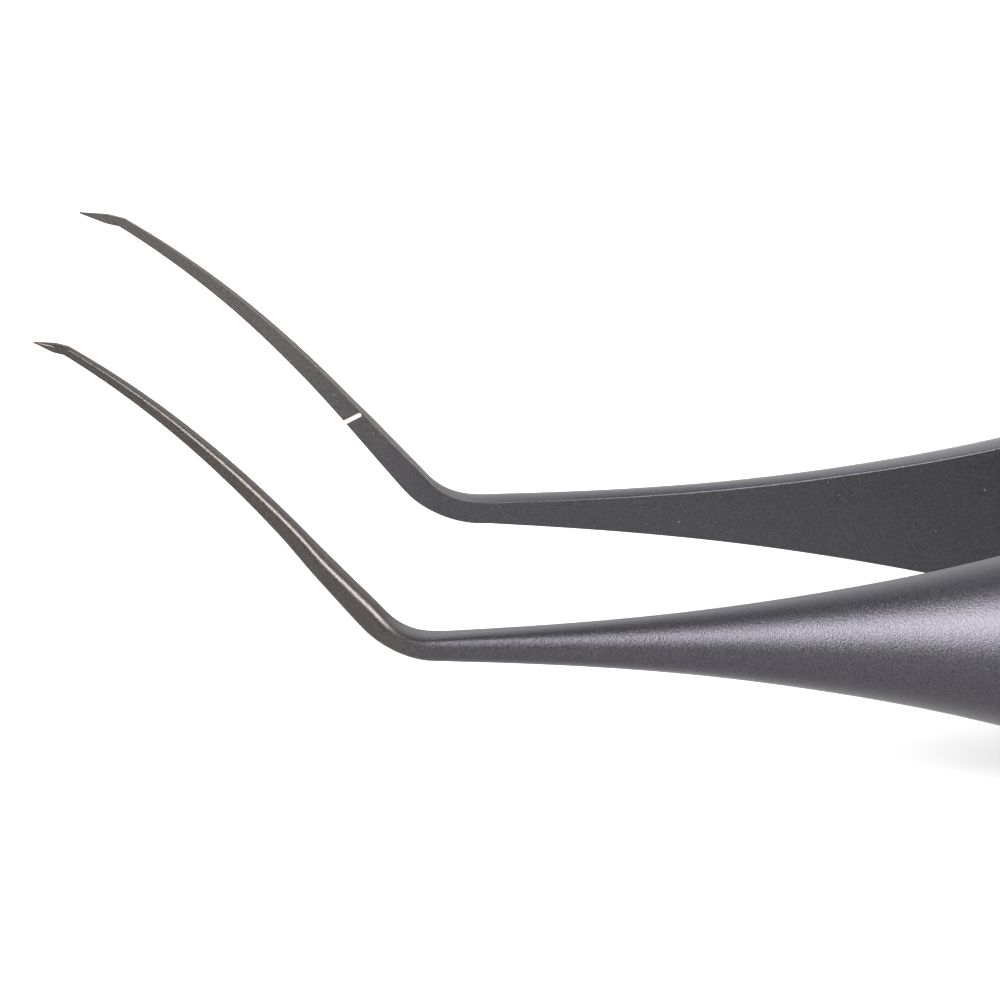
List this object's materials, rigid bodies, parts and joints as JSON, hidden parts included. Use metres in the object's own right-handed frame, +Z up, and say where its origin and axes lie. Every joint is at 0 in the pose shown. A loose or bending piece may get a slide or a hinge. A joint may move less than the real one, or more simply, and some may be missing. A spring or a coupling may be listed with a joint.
{
  "type": "angled micro forceps",
  "caption": "Round-handled spring forceps whose two slim arms bend up and end in fine pointed tips that meet when the handles are squeezed.",
  "frame": {"origin": "middle of the length and width of the open tool, on the plane that the round handles rest on", "axes": "+X along the handle from the tips to the tail, +Y from the near arm to the far arm, which is the way the arms open, +Z up, the way the shafts bend"},
  "size_m": [0.1054, 0.0142, 0.0121],
  "materials": {
    "dark_coating": "satin dark grey hard coating on turned metal",
    "dark_tail": "satin dark grey hard coating on turned metal",
    "spring_steel": "brushed spring steel",
    "pin_steel": "fine ground steel"
  },
  "bodies": {
    "tail": {"tail_plug": "dark_tail", "tail_cap": "dark_tail", "near_cheek": "dark_tail", "far_cheek": "dark_tail", "near_leaf": "spring_steel", "far_leaf": "spring_steel", "tail_rivet_front": "pin_steel", "tail_rivet_rear": "pin_steel"},
    "near_arm": {"near_arm": "dark_coating", "near_leaf_rivet_front": "pin_steel", "near_leaf_rivet_rear": "pin_steel", "guide_pin": "pin_steel"},
    "far_arm": {"far_arm": "dark_coating", "far_leaf_rivet_front": "pin_steel", "far_leaf_rivet_rear": "pin_steel"}
  },
  "joints": [
    {"name": "near_arm_flex", "type": "hinge", "parent": "tail", "child": "near_arm", "pos_m": [0.026, -0.00173, 0.004], "axis": [0, 0, -1], "range_deg": [0, 2.8], "stiffness_Nm_per_rad": 0.65, "deforming": ["near_leaf"]},
    {"name": "far_arm_flex", "type": "hinge", "parent": "tail", "child": "far_arm", "pos_m": [0.026, 0.00173, 0.004], "axis": [0, 0, 1], "range_deg": [0, 2.8], "stiffness_Nm_per_rad": 0.65, "deforming": ["far_leaf"]}
  ]
}
